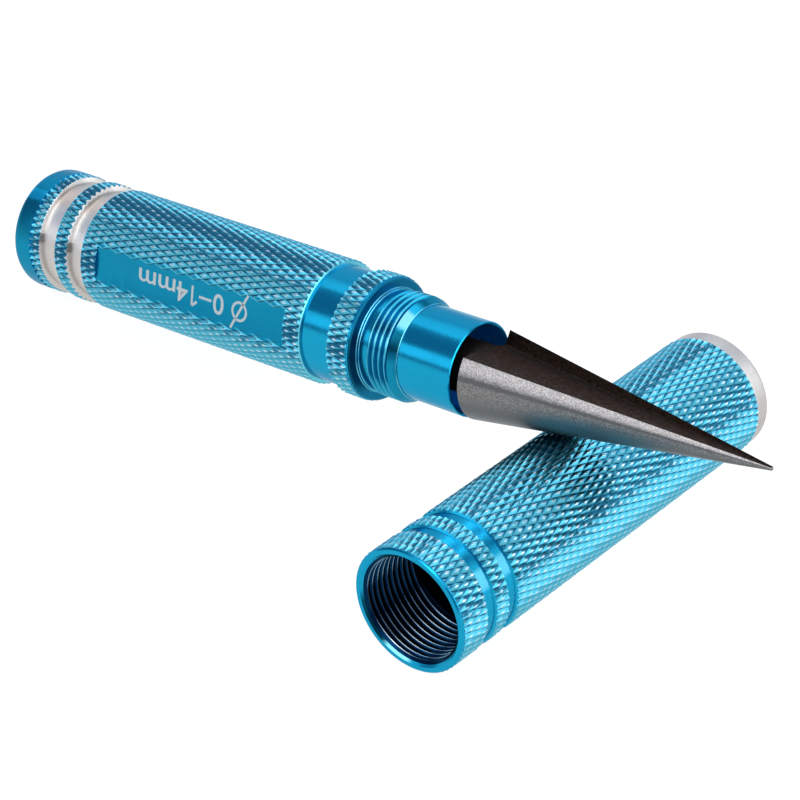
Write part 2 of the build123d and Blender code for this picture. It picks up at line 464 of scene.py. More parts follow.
def apply_modifier(piece, kind, **values):
    """Add a modifier with these values and apply it."""
    select_only(piece)
    bpy.ops.object.modifier_add(type=kind)
    modifier = piece.modifiers[-1]
    for key, value in values.items():
        setattr(modifier, key, value)
    bpy.ops.object.modifier_apply(modifier=modifier.name)


def combine(piece, tool, operation):
    """Cut a piece by a tool, or keep what they share, and throw the tool away."""
    apply_modifier(piece, "BOOLEAN", operation=operation, object=tool, solver="EXACT",
                   material_mode="TRANSFER")
    bpy.data.objects.remove(tool)
    with editing(piece):
        bpy.ops.mesh.remove_doubles(threshold=MERGE_DISTANCE)


def put_in_place(piece, place):
    """Turn a piece to its place, and leave its object at the origin."""
    piece.matrix_world = place @ piece.matrix_world
    select_only(piece)
    bpy.ops.object.transform_apply(location=True, rotation=True, scale=True)


def place_of(holder):
    """From the handle's or the cap's own axis to where the frame holds it."""
    return cap_place() if holder == "cap" else reamer_place()


def hand_over(piece, cad_node, *materials, within=Matrix()):
    """Finish a piece: its place, smooth shading, materials, body and node."""
    put_in_place(piece, place_of(cad_node) @ within)
    bpy.ops.object.shade_smooth_by_angle(angle=SMOOTH_ANGLE)
    for material in materials:
        piece.data.materials.append(material)
    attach(piece, BODY)
    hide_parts(cad_node)


# The knurl: one diamond, arrayed on a flat sheet that is then bent round

def knurl_diamond(name):
    """One pyramid of the knurl and its neighbour half a step on, crests level with Z = 0."""
    grip = settings("grip")
    width = math.tau * grip.radius / grip.starts
    half_width, half_length = width / 2, grip.diamond_length / 2
    inner = half_width * half_length / math.hypot(half_width, half_length)
    brow = grip.knurl_depth * grip.brow_height
    deselect_all()
    bpy.ops.mesh.primitive_circle_add(vertices=4, radius=1, fill_type="NGON")
    piece = named(name)
    with editing(piece):
        bpy.ops.transform.resize(value=(half_width, half_length, 1))
        bpy.ops.transform.translate(value=(0, 0, -grip.knurl_depth))
        bpy.ops.mesh.inset(thickness=inner * (1 - grip.brow_share), depth=brow)
        bpy.ops.mesh.inset(thickness=inner * (grip.brow_share - grip.crest_share),
                           depth=grip.knurl_depth - brow)
        bpy.ops.mesh.select_all(action="SELECT")
        bpy.ops.mesh.duplicate_move(
            TRANSFORM_OT_translate={"value": (half_width, half_length, 0)})
    return piece, width


def trim(place, normal):
    """In edit mode, cut off what lies behind a plane."""
    bpy.ops.mesh.select_all(action="SELECT")
    bpy.ops.mesh.bisect(plane_co=place, plane_no=normal, clear_inner=True,
                        threshold=MERGE_DISTANCE / 10)


def knurled_ring(name, first, last):
    """A knurled ring between two stations, with plain ends and a plain inner wall."""
    grip = settings("grip")
    piece, width = knurl_diamond(name)
    put_in_place(piece, Matrix.Translation((-width, first - grip.diamond_length, 0)))
    # the sheet is cut to its size afterwards, so it starts with a few diamonds too many
    rows = math.ceil((last - first) / grip.diamond_length) + 2
    for count, step in ((grip.starts + 3, (width, 0, 0)), (rows, (0, grip.diamond_length, 0))):
        apply_modifier(piece, "ARRAY", count=count, use_relative_offset=False,
                       use_constant_offset=True, constant_offset_displace=step)
    # its inner wall lies deeper than the sleeve's, which is cut out of it later
    floor = -1.2 * grip.wall_depth
    with editing(piece):
        bpy.ops.mesh.remove_doubles(threshold=MERGE_DISTANCE)
        trim((0, 0, 0), (1, 0, 0))
        trim((width * grip.starts, 0, 0), (-1, 0, 0))
        trim((0, first, 0), (0, 1, 0))
        trim((0, last, 0), (0, -1, 0))
        for station in (first, last):
            pick_edges("y", station)
            bpy.ops.mesh.extrude_region_move(TRANSFORM_OT_translate={"value": (0, 0, 0)})
            bpy.ops.transform.resize(value=(1, 1, 0), center_override=(0, 0, floor))
        pick_edges("z", floor)
        bpy.ops.mesh.bridge_edge_loops()
    # stand the sheet up, so that its crests face -Y, and bend it about Z
    put_in_place(piece, Matrix.Rotation(math.pi / 2, 4, "X"))
    apply_modifier(piece, "SIMPLE_DEFORM", deform_method="BEND", deform_axis="Z", angle=math.tau)
    put_in_place(piece, Matrix.Translation((0, -grip.radius, 0)))
    with editing(piece):
        merge_and_face_outwards()
    return piece


# The screw thread

def threaded_rod(name, first, last, crest_radius, root_radius, material):
    """A threaded rod that covers two stations. The space between its threads has the root width."""
    form = settings("thread")
    flank = form.pitch * (1 - form.crest - form.root) / 2
    turns = math.ceil((last - first) / form.pitch) + 3
    start = first - 2 * form.pitch
    corners = []
    for turn in range(turns):
        rising = start + turn * form.pitch
        corners += [(root_radius, rising),
                    (root_radius, rising + form.root * form.pitch),
                    (crest_radius, rising + form.root * form.pitch + flank),
                    (crest_radius, rising + form.pitch - flank)]
    piece = draw_profile(name, corners)
    apply_modifier(piece, "SCREW", angle=math.tau, screw_offset=form.pitch, axis="Z",
                   steps=THREAD_STEPS, render_steps=THREAD_STEPS)
    with editing(piece):
        bpy.ops.mesh.remove_doubles(threshold=MERGE_DISTANCE)
        trim((0, 0, first), (0, 0, 1))
        trim((0, 0, last), (0, 0, -1))
        for station in (first, last):
            pick_edges("z", station)
            bpy.ops.mesh.edge_face_add()
        merge_and_face_outwards()
    piece.data.materials.append(material)
    return piece


# Finishes

# Tint of what a surface reflects at a flat angle
ANODISED_RIM = (0.6, 0.72, 0.8, 1.0)
DARK_RIM = (0.4, 0.32, 0.27, 1.0)

# Cells to the metre of the finest grain
FINEST = 9000.0


def node(tree, kind, inputs=None, **values):
    """Add a node, set its values, set or link its inputs by name or number; its outputs."""
    made = tree.nodes.new(kind)
    for key, value in values.items():
        setattr(made, key, value)
    for key, value in (inputs or {}).items():
        if isinstance(value, bpy.types.NodeSocket):
            tree.links.new(value, made.inputs[key])
        else:
            made.inputs[key].default_value = value
    return made.outputs


def calculate(tree, operation, *values):
    """A Math node's result."""
    return node(tree, "ShaderNodeMath", dict(enumerate(values)), operation=operation)[0]


def ramp(tree, value, start, end, low=0.0, high=1.0, smooth=False):
    """A value spread from one range to another, and held to it."""
    ends = {"From Min": start, "From Max": end, "To Min": low, "To Max": high}
    return node(tree, "ShaderNodeMapRange", {"Value": value, **ends}, clamp=True,
                interpolation_type="SMOOTHSTEP" if smooth else "LINEAR")[0]


def between(tree, value, low, high):
    """A 0 to 1 value spread between two others."""
    return ramp(tree, value, 0.0, 1.0, low, high)


def mix_colours(tree, factor, first, second):
    """A colour between two, each of them a socket or plain."""
    ends = {index: end if isinstance(end, bpy.types.NodeSocket) else (*end, 1.0)
            for index, end in ((6, first), (7, second))}
    return node(tree, "ShaderNodeMix", {0: factor, **ends}, data_type="RGBA")[2]


def mottled(tree, tone, value, most, other):
    """A tone with another mixed in, by a 0 to 1 value and up to a share."""
    return mix_colours(tree, between(tree, value, 0.0, most), tone, other)


def scaled(shade, factor):
    """A colour made darker or lighter."""
    return tuple(channel * factor for channel in shade)


def mean(one, other):
    """The colour halfway between two."""
    return tuple((a + b) / 2 for a, b in zip(one, other))


# Effects that several finishes share, each a node group in the piece's own coordinates

def over_axis(tree, vector):
    """The distance from the axis, and the station along it."""
    parts = node(tree, "ShaderNodeSeparateXYZ", {0: vector})
    flat = node(tree, "ShaderNodeCombineXYZ", {0: parts[0], 1: parts[1]})[0]
    return node(tree, "ShaderNodeVectorMath", {0: flat}, operation="LENGTH")["Value"], parts[2]


def turned_lines(tree, source):
    """Fine lines round the axis, as a lathe leaves them: on faces by radius, elsewhere by station."""
    travel = calculate(tree, "ADD", *over_axis(tree, source["Vector"]))
    count = calculate(tree, "DIVIDE", travel, source["Spacing"])
    return node(tree, "ShaderNodeTexNoise", {"W": count, "Scale": 1.0, "Detail": 2.0},
                noise_dimensions="1D")["Fac"]


def fine_grain(tree, source):
    """Grain for tone, gloss and relief, at so many cells to the metre."""
    cells = node(tree, "ShaderNodeVectorMath", {0: source["Vector"], 3: source["Cells"]},
                 operation="SCALE")[0]
    return node(tree, "ShaderNodeTexNoise",
                {"Vector": cells, "Scale": 1.0, "Detail": 4.0, "Roughness": 0.6})["Fac"]


def height_over_axis(tree, source):
    """A mask that rises between two radii, for worn crests and deep roots."""
    radius, _ = over_axis(tree, source["Vector"])
    return ramp(tree, radius, source["Low"], source["High"], smooth=True)


# What builds each effect, its result, and its inputs beside the vector
EFFECTS = {
    "Turned lines": (turned_lines, "Lines", ["Spacing"]),
    "Fine grain": (fine_grain, "Grain", ["Cells"]),
    "Height over axis": (height_over_axis, "Mask", ["Low", "High"]),
}


def effect(tree, name, vector, *values):
    """Place a shared effect in a material. Its node group is made the first time."""
    build, result, inputs = EFFECTS[name]
    group = bpy.data.node_groups.get(name)
    if not group:
        group = bpy.data.node_groups.new(name, "ShaderNodeTree")
        new_socket = group.interface.new_socket
        new_socket(name="Vector", in_out="INPUT", socket_type="NodeSocketVector")
        for label in inputs:
            new_socket(name=label, in_out="INPUT", socket_type="NodeSocketFloat")
        new_socket(name=result, in_out="OUTPUT", socket_type="NodeSocketFloat")
        node(group, "NodeGroupOutput", {result: build(group, node(group, "NodeGroupInput"))})
    return node(tree, "ShaderNodeGroup", {"Vector": vector, **dict(zip(inputs, values))},
                node_tree=group)[result]


def grain_of(tree, vector, cells):
    """The grain's value, at so many cells to the metre."""
    return effect(tree, "Fine grain", vector, cells)


def lines_of(tree, vector, spacing):
    """The turned lines' value."""
    return effect(tree, "Turned lines", vector, spacing)


def turn_of(tree, own, ragged):
    """The angle round the piece's own axis, from its -X side over its +Y side, a bit ragged."""
    parts = node(tree, "ShaderNodeSeparateXYZ", {0: own})
    turn = calculate(tree, "ARCTAN2", parts[1], calculate(tree, "MULTIPLY", parts[0], -1.0))
    speckle = grain_of(tree, own, 3800.0)
    return calculate(tree, "ADD", turn, between(tree, speckle, -ragged, ragged))


def patch_of(tree, turn, middle, width):
    """A soft mask round one angle in degrees: 1 at its middle, 0 from half its width on."""
    off = calculate(tree, "ABSOLUTE", calculate(tree, "SUBTRACT", turn, math.radians(middle)))
    return ramp(tree, off, math.radians(width / 4), math.radians(width / 2), 1.0, 0.0, smooth=True)


def with_patches(tree, own, tone, ragged, patches):
    """A tone with painted highlights and painted shade that change round the axis. A patch is (middle
    and width in degrees, colour).
    """
    turn = turn_of(tree, own, ragged) if patches else None
    for middle, width, colour_there in patches:
        tone = mix_colours(tree, patch_of(tree, turn, middle, width), tone, colour_there)
    return tone


def new_material(name, place, **constants):
    """A metal with its shader's constants set, and the piece's own coordinates."""
    material = bpy.data.materials.new(name)
    material.use_nodes = True
    tree = material.node_tree
    shader = tree.nodes["Principled BSDF"]
    for key, value in {"Metallic": 1.0, **constants}.items():
        shader.inputs[key.replace("_", " ")].default_value = value
    where = node(tree, "ShaderNodeTexCoord")["Object"]
    own = node(tree, "ShaderNodeMapping",
               {"Vector": where, "Location": place.to_translation(),
                "Rotation": place.to_euler()}, vector_type="TEXTURE")[0]
    return tree, shader, own


def feed(tree, shader, tone, rough, height=None, depth=0.0, strength=0.5):
    """Link a tone, a roughness and a height, through a Bump node, to the shader."""
    tree.links.new(tone, shader.inputs["Base Color"])
    tree.links.new(rough, shader.inputs["Roughness"])
    if height:
        bump = node(tree, "ShaderNodeBump",
                    {"Height": height, "Distance": depth, "Strength": strength})[0]
        tree.links.new(bump, shader.inputs["Normal"])


def blue_aluminium(name, place, shade, gloss, peel_height, *patches):
    """Smooth anodised aluminium: clouds, fine turned lines, grain, a slight orange peel, and patches
    of painted highlight and painted shade round the axis.

    The gloss is its middle roughness, and the peel's height is against the turned lines'.
    """
    tree, shader, own = new_material(name, place, Specular_Tint=ANODISED_RIM)
    grain = grain_of(tree, own, FINEST)
    cloud = grain_of(tree, own, 260.0)
    peel = grain_of(tree, own, 2300.0)
    lines = lines_of(tree, own, 0.07 * MM)
    tone = mottled(tree, shade, cloud, 0.6, scaled(shade, 0.75))
    tone = mottled(tree, tone, lines, 0.4, scaled(shade, 0.7))
    tone = with_patches(tree, own, tone, 0.06, patches)
    rough = calculate(tree, "ADD", between(tree, grain, gloss - 0.05, gloss + 0.05),
                      between(tree, cloud, -0.03, 0.05))
    mixed = calculate(tree, "ADD", lines, calculate(tree, "MULTIPLY", grain, 0.5))
    mixed = calculate(tree, "ADD", mixed, calculate(tree, "MULTIPLY", peel, peel_height))
    feed(tree, shader, tone, rough, mixed, 0.006 * MM)


def knurled_blue(name, place):
    """Knurled blue aluminium: crests pale, partly from wear and partly as a painted highlight, glossy
    flanks, and painted shade deepening the blue in the roots.
    """
    f, grip = settings("finish"), settings("grip")
    tree, shader, own = new_material(name, place, Specular_Tint=ANODISED_RIM)
    # the pale crests, partly wear and partly a painted highlight, start a little under the crests;
    # from a third of the depth down the blue gets deeper as painted shade in the roots
    crest = effect(tree, "Height over axis", own, grip.radius - 0.06 * MM,
                   grip.radius - 0.006 * MM)
    root = effect(tree, "Height over axis", own, grip.radius - grip.knurl_depth,
                  grip.radius - 0.35 * grip.knurl_depth)
    grain = grain_of(tree, own, FINEST)
    wear = ramp(tree, grain_of(tree, own, 1500.0), 0.38, 0.58, 0.25)
    wear_and_highlight = calculate(tree, "MULTIPLY", crest, wear)
    tone = mix_colours(tree, root, scaled(f.flank, 0.7), f.flank)
    tone = mix_colours(tree, wear_and_highlight, tone, f.wear_and_highlight)
    rough = calculate(tree, "ADD", between(tree, grain, 0.12, 0.22), between(tree, wear_and_highlight, 0.0, 0.15))
    feed(tree, shader, tone, rough, grain, 0.006 * MM)


def threaded_blue(name, place, low, high, valley, crest, inward, *patches):
    """A thread whose colour changes between two radii, with valleys painted darker as shade and
    crests paler as a highlight. Its patches of painted highlight and shade lie along the crests.
    """
    tree, shader, own = new_material(name, place, Specular_Tint=ANODISED_RIM)
    grain = grain_of(tree, own, 7000.0)
    crest = with_patches(tree, own, crest, 0.08, patches)
    tones = (crest, valley) if inward else (valley, crest)
    tone = mix_colours(tree, effect(tree, "Height over axis", own, low, high), *tones)
    tone = mottled(tree, tone, grain, 0.5, valley)
    feed(tree, shader, tone, between(tree, grain, 0.12, 0.3), grain, 0.01 * MM)


def bare_aluminium(name, place, shade, gloss, *patches):
    """Turned aluminium with its tool lines and fine pits, and patches of painted highlight and
    painted shade round the axis.
    """
    tree, shader, own = new_material(name, place)
    broad = lines_of(tree, own, 0.5 * MM)
    grain = grain_of(tree, own, 6000.0)
    pits = grain_of(tree, own, 3000.0)
    tone = mottled(tree, shade, broad, 0.6, scaled(shade, 0.82))
    tone = with_patches(tree, own, tone, 0.06, patches)
    tone = mottled(tree, tone, grain, 0.4, scaled(shade, 0.7))
    tone = mottled(tree, tone, pits, 0.6, scaled(shade, 0.65))
    feed(tree, shader, tone, between(tree, grain, gloss, gloss + 0.14),
         lines_of(tree, own, 0.09 * MM), 0.008 * MM)


def ground_steel(name, place):
    """Ground tool steel: a dark satin speckled cone, with painted shade on its underside and a pale
    band along the near edge that is a painted highlight.
    """
    f = settings("finish")
    tree, shader, own = new_material(name, place)
    turn = turn_of(tree, own, 0.09)
    grain = grain_of(tree, own, 6500.0)
    speckle = grain_of(tree, own, 4200.0)
    cloud = grain_of(tree, own, 420.0)
    # the pale band, a painted highlight, starts between 19 and 31 degrees above level; the paler
    # steel, above the painted shade of the underside, between -25 and 5
    land, above = [ramp(tree, turn, math.radians(low), math.radians(high), smooth=True)
                   for low, high in ((19, 31), (-25, 5))]
    tone = mix_colours(tree, above, f.steel_below, f.steel)
    tone = mix_colours(tree, land, tone, f.land)
    # a dark line of painted reflection lies along the pale band's lower side
    line = calculate(tree, "MULTIPLY", patch_of(tree, turn, 19.0, 9.0), 0.9)
    tone = mix_colours(tree, line, tone, scaled(f.steel, 0.35))
    # speckles of two sizes darken the pale band and the rest alike
    for value, low, high, darker in ((speckle, 0.42, 0.58, 0.4), (grain, 0.47, 0.6, 0.35)):
        dark = mix_colours(tree, land, scaled(f.steel, darker), scaled(f.land, darker))
        tone = mix_colours(tree, ramp(tree, value, low, high, 0.0, 0.75), tone, dark)
    tone = mottled(tree, tone, cloud, 0.3, scaled(f.steel, 0.7))
    rough = calculate(tree, "ADD", between(tree, grain, 0.3, 0.46),
                      between(tree, cloud, -0.03, 0.05))
    mixed = calculate(tree, "ADD", lines_of(tree, own, 0.05 * MM),
                      calculate(tree, "MULTIPLY", speckle, 2.0))
    feed(tree, shader, tone, rough, mixed, 0.012 * MM, 0.6)


def dark_steel(name, place, first, second):
    """Milled and darkened steel between two tones, with lengthwise streaks and mottled grain."""
    tree, shader, own = new_material(name, place, Specular_Tint=DARK_RIM)
    # stretched along the axis, the grain becomes streaks
    stretched = node(tree, "ShaderNodeMapping", {"Vector": own, "Scale": (1.0, 1.0, 0.06)})[0]
    streaks = grain_of(tree, stretched, 2600.0)
    grain = grain_of(tree, own, 7000.0)
    mottle = grain_of(tree, own, 2200.0)
    spots = ramp(tree, mottle, 0.35, 0.65)
    tone = mottled(tree, first, streaks, 0.6, second)
    tone = mottled(tree, tone, spots, 0.8, scaled(first, 0.3))
    feed(tree, shader, tone, between(tree, grain, 0.36, 0.58),
         calculate(tree, "ADD", mottle, grain), 0.02 * MM, 0.6)


def size_mark(name, place):
    """The pale, slightly rough size mark."""
    pale = settings("finish").mark
    tree, shader, own = new_material(name, place, Metallic=0.2)
    grain = grain_of(tree, own, FINEST)
    tone = mix_colours(tree, grain, pale, scaled(pale, 0.7))
    feed(tree, shader, tone, between(tree, grain, 0.5, 0.75))


def finishes():
    """Every finish by name: what makes it, with its tones, its gloss and its patches."""
    f, h, c, form = settings("finish"), settings("handle"), settings("cap"), settings("thread")
    blue, bare = f.anodised, f.bare
    lit_ring, band = scaled(blue, 1.35), scaled(bare, 0.86)
    cap_crest = c.thread_radius - c.thread_depth
    return {
        # polished as it was turned, milled for the mark, and bored in the nose and in the cap; the
        # nose's bore is painted lighter as painted light, and the cap's inside dark as painted shade
        "blue": (blue_aluminium, blue, 0.17, 2.0),
        "flat": (blue_aluminium, scaled(blue, 0.76), 0.32, 1.0),
        "bore": (blue_aluminium, scaled(blue, 1.7), 0.42, 2.0),
        "inside": (blue_aluminium, f.shade, 0.4, 2.0),
        # the collar's face, painted darker as shade and darker still on one side, and bevels painted
        # pale as a highlight
        "face": (blue_aluminium, f.face, 0.3, 1.0, (22.0, 150.0, scaled(f.face, 0.4))),
        "edge": (blue_aluminium, f.edge, 0.25, 1.0),
        # the smooth band at the butt, painted darker as shade, darkest on the side that faces the
        # front, with a painted highlight and a darker painted stripe beside it
        "butt": (blue_aluminium, scaled(blue, 0.8), 0.3, 1.0, (36.0, 60.0, scaled(blue, 0.54)),
                 (60.0, 16.0, scaled(blue, 1.3)), (77.0, 24.0, scaled(blue, 0.74))),
        # the cap's turned rings, with painted highlights along one side of a dark streak of painted
        # reflection
        "ring": (blue_aluminium, blue, 0.2, 2.0, (-103.0, 26.0, lit_ring),
                 (-66.0, 18.0, lit_ring), (-131.0, 16.0, scaled(blue, 0.55)),
                 (-142.0, 24.0, scaled(f.flank, 0.88))),
        # the spigot's sloping land and the chamfer in the cap's mouth, each with a patch of painted
        # shade and a painted highlight
        "land": (blue_aluminium, scaled(blue, 0.75), 0.25, 1.0, (36.0, 34.0, scaled(blue, 0.2)),
                 (62.0, 28.0, scaled(f.glint, 0.75))),
        "mouth": (blue_aluminium, blue, 0.25, 1.0, (38.0, 72.0, scaled(blue, 0.15)),
                  (78.0, 40.0, scaled(f.glint, 1.3))),
        # the spigot's thread: valleys painted darker as shade, crests paler as a painted highlight
        # that is palest in front
        "spigot": (threaded_blue, h.thread_radius - 0.35 * form.depth, h.thread_radius,
                   scaled(blue, 0.75), scaled(mean(f.edge, blue), 0.8), False,
                   (46.0, 50.0, scaled(f.glint, 1.5))),
        # the cap's thread: valleys painted dark as shade, a painted highlight along each crest, then
        # a patch of painted shade and a palest painted highlight round the axis
        "thread": (threaded_blue, cap_crest + 0.01 * MM, cap_crest + 0.09 * MM,
                   f.shade, mean(f.wear_and_highlight, blue), True,
                   (22.0, 56.0, scaled(f.steel_below, 0.4)), (68.0, 64.0, scaled(f.wear_and_highlight, 1.2))),
        # the bare grooves, the sloped walls beside them, and the duller band of the cap, each with
        # patches of painted highlight, shade and reflection round the axis
        "bare": (bare_aluminium, bare, 0.32, (64.0, 54.0, (0.72, 0.58, 0.50)),
                 (40.0, 50.0, scaled(bare, 1.5))),
        "shoulder": (bare_aluminium, bare, 0.24, (43.0, 56.0, scaled(bare, 1.3)),
                     (20.0, 13.0, scaled(bare, 0.12)), (84.0, 50.0, scaled(bare, 0.5))),
        "band": (bare_aluminium, band, 0.36, (-102.0, 70.0, scaled(band, 1.18)),
                 (172.0, 50.0, scaled(band, 0.84))),
        # the flute's floor, and its wall, darker as painted shade and with a warm tint
        "flute": (dark_steel, f.flute, f.flute_wall),
        "flute_wall": (dark_steel, scaled(f.flute_wall, 0.5), f.flute_wall),
        "knurl": (knurled_blue,),
        "steel": (ground_steel,),
        "mark": (size_mark,),
    }


def finish(kind, holder):
    """A finish on the handle's or the cap's axis, made once."""
    name = f"{kind}_{holder}"
    if name not in bpy.data.materials:
        make, *values = finishes()[kind]
        make(name, place_of(holder), *values)
    return bpy.data.materials[name]


# Operators, one for each group of like pieces

def turned_core(name, cad_node, corners, bands):
    """Turn a core in blue, paint its bands and hand it over.

    A band is (finish, its two stations, its two radii).
    """
    piece = lathe(name, corners)
    kinds = ["blue", *dict.fromkeys(kind for kind, _, _ in bands)]
    for kind in kinds:
        piece.data.materials.append(finish(kind, cad_node))
    for kind, (back, front), (inner, outer) in bands:
        for face in piece.data.polygons:
            radius = math.hypot(face.center.x, face.center.y)
            if back < face.center.z < front and inner < radius < outer:
                face.material_index = kinds.index(kind)
    hand_over(piece, cad_node)


class REAMER_OT_handle_body(bpy.types.Operator):
    """Turn the handle's core: butt band, bare grooves, waist, collar, spigot and hollow nose"""
    bl_idname = "reamer.handle_body"
    bl_label = "Handle body"
    bl_options = {"REGISTER", "UNDO"}

    def execute(self, context):
        h, b, grip, at = settings("handle"), settings("blade"), settings("grip"), handle_stations()
        core = grip.radius - h.groove_depth
        waist = grip.radius - h.waist_depth
        ring, ring_start = grip.radius - h.collar_ring_depth, at["collar_end"] - SPARE
        neck = h.thread_radius - h.neck_depth
        under_thread = h.thread_radius - settings("thread").depth - SPARE / 2
        bore = b.shank_radius + CLEARANCE
        face = at["collar_face"]
        boss, boss_top = face + h.boss_height, face + 2 * h.boss_height
        step = h.boss_radius - h.boss_step
        land = at["thread_end"] + h.land_start
        land_high, land_low = h.thread_radius - h.land_high, h.thread_radius - h.land_low
        nose, rim, floor = at["nose"], at["rim"], at["bore_floor"]
        corners = [
            (0, 0), (grip.radius, 0, h.butt_rounding), (grip.radius, at["butt_end"]),
            (core, at["butt_end"]), (core, at["rear_groove"]), (core, at["middle_knurl"]),
            (core, at["front_groove"]), (core, at["main_knurl"]),
            (core, at["waist"] - OVERLAP), (waist, at["waist"] - OVERLAP),
            (waist, at["collar"] + OVERLAP), (core, at["collar"] + OVERLAP),
            (core, ring_start), (ring, ring_start),
            (ring, face - h.collar_bevel), (ring - h.collar_bevel, face),
            (h.boss_radius, face), (h.boss_radius, boss - PAINTED_HIGHLIGHT_BEVEL),
            (h.boss_radius - PAINTED_HIGHLIGHT_BEVEL, boss), (step, boss), (step, boss_top - PAINTED_HIGHLIGHT_BEVEL),
            (step - PAINTED_HIGHLIGHT_BEVEL, boss_top), (neck, boss_top), (neck, at["thread"]),
            (under_thread, at["thread"]), (under_thread, land), (land_high, land),
            (land_low, nose - PAINTED_HIGHLIGHT_BEVEL), (land_low - PAINTED_HIGHLIGHT_BEVEL, nose),
            (h.nose_radius, nose), (h.nose_radius, rim - h.rim_chamfer),
            (h.nose_radius - h.rim_chamfer, rim), (h.nose_bore + h.rim_chamfer / 2, rim),
            (h.nose_bore, rim - h.rim_chamfer / 2), (h.nose_bore, floor),
            (bore, floor), (bore, at["shank_end"]), (0, at["shank_end"]),
        ]
        groove_floor = (core - NEAR, core + NEAR)
        turned_core("handle_body", "handle", corners, [
            ("bare", (at["rear_groove"], at["middle_knurl"]), groove_floor),
            ("bare", (at["front_groove"], at["main_knurl"]), groove_floor),
            ("bore", (floor - HAIR, rim - h.rim_chamfer), (bore, h.nose_bore + HAIR)),
            ("face", (at["collar_end"], face + HAIR), (h.boss_radius, grip.radius)),
            ("edge", (boss - PAINTED_HIGHLIGHT_BEVEL, boss), (h.boss_radius - PAINTED_HIGHLIGHT_BEVEL, h.boss_radius)),
            ("edge", (boss_top - PAINTED_HIGHLIGHT_BEVEL, boss_top), (step - PAINTED_HIGHLIGHT_BEVEL, step)),
            ("edge", (nose - PAINTED_HIGHLIGHT_BEVEL, nose), (land_low - PAINTED_HIGHLIGHT_BEVEL, land_low)),
            ("butt", (0, at["butt_end"]), (0, grip.radius)),
            ("land", (land + HAIR, nose - PAINTED_HIGHLIGHT_BEVEL), (land_low, land_high)),
        ])
        return {"FINISHED"}


def cut_ring(name, cad_node, first, last, low, high):
    """A knurled ring cut to its two ends. low and high are their (run, drop, finish)."""
    grip = settings("grip")
    piece = knurled_ring(name, first - low[0] - SPARE, last + high[0] + SPARE)
    piece.data.materials.append(finish("knurl", cad_node))
    over = grip.radius + OVERLAP
    inside = grip.radius - grip.wall_depth

    def shoulder_line(station, run, drop):
        if not run:
            return [(inside, station), (over, station)]
        climb = (drop + over - grip.radius) / drop
        return [(inside, station - run), (grip.radius - drop, station - run),
                (over, station - run + climb * run)]

    corners = shoulder_line(first, *low[:2])
    corners += reversed(shoulder_line(last, -high[0], high[1]))
    blank = lathe(name + "_blank", corners, finish(low[2], cad_node), finish(high[2], cad_node))
    for face in blank.data.polygons:
        face.material_index = int(face.center.z > (first + last) / 2)
    combine(piece, blank, "INTERSECT")
    return piece


class REAMER_OT_handle_knurls(bpy.types.Operator):
    """Knurl the handle's rings, its long grip with the flat, and the collar"""
    bl_idname = "reamer.handle_knurls"
    bl_label = "Handle knurls"
    bl_options = {"REGISTER", "UNDO"}

    def execute(self, context):
        h, at = settings("handle"), handle_stations()
        upright = (0, 0, "blue")
        groove = (h.groove_slope, h.groove_depth, "shoulder")
        # the waist chamfer is painted pale as a highlight
        chamfer = (h.waist_chamfer, h.waist_chamfer, "edge")
        rings = {
            "handle_knurl_rear": (at["butt_end"], at["rear_groove"], upright, groove),
            "handle_knurl_middle": (at["middle_knurl"], at["front_groove"], groove, groove),
            "handle_knurl_main": (at["main_knurl"], at["waist"] - h.waist_chamfer, groove, chamfer),
            "handle_knurl_collar": (at["collar"], at["collar_end"], upright, upright),
        }
        for name, ends in rings.items():
            piece = cut_ring(name, "handle", *ends)
            if name == "handle_knurl_main":
                mill_flat(piece)
            hand_over(piece, "handle")
        return {"FINISHED"}


def flat_place():
    """From the flat to the handle's frame: X against the stations, Y down, Z out of the flat."""
    h, grip = settings("handle"), settings("grip")
    up, level = math.sin(h.flat_turn), math.cos(h.flat_turn)
    out = Vector((-level, up, 0))
    turned = Matrix(((0, 0, -1), (-up, -level, 0), out)).transposed().to_4x4()
    return Matrix.Translation(out * (grip.radius - h.flat_depth)) @ turned


def mill_flat(piece):
    """Mill the flat for the size mark with a block."""
    h, grip = settings("handle"), settings("grip")
    depth = 2 * grip.radius
    deselect_all()
    bpy.ops.mesh.primitive_cube_add(size=1, location=(0, 0, 0))
    cutter = named("flat_cutter")
    cutter.data.materials.append(finish("flat", "handle"))
    size = Matrix.Diagonal((depth, h.flat_length, depth, 1))
    turned = Matrix.Rotation(math.pi / 2, 4, "Z")
    lift = Matrix.Translation((-(h.flat_start + h.flat_length / 2), 0, depth / 2))
    put_in_place(cutter, flat_place() @ lift @ turned @ size)
    combine(piece, cutter, "DIFFERENCE")


class REAMER_OT_spigot_thread(bpy.types.Operator):
    """Cut the thread on the spigot, with its run-out and lead-in"""
    bl_idname = "reamer.spigot_thread"
    bl_label = "Spigot thread"
    bl_options = {"REGISTER", "UNDO"}

    def execute(self, context):
        h, form, at = settings("handle"), settings("thread"), handle_stations()
        blue = finish("spigot", "handle")
        root, over = h.thread_radius - form.depth, h.thread_radius + CLEARANCE
        start, end = at["thread"], at["thread_end"] + h.land_start + OVERLAP / 2
        rod = threaded_rod("spigot_rod", start - form.spigot_start, end + RUN_ON,
                           h.thread_radius, root, blue)
        piece = lathe("spigot_thread", [
            (root - SPARE, start), (h.thread_radius - h.neck_depth, start),
            (over, start + h.neck_depth), (over, at["thread_end"]),
            (root + 2 * HAIR, end), (root - SPARE, end)], blue)
        combine(piece, rod, "INTERSECT")
        hand_over(piece, "handle")
        return {"FINISHED"}


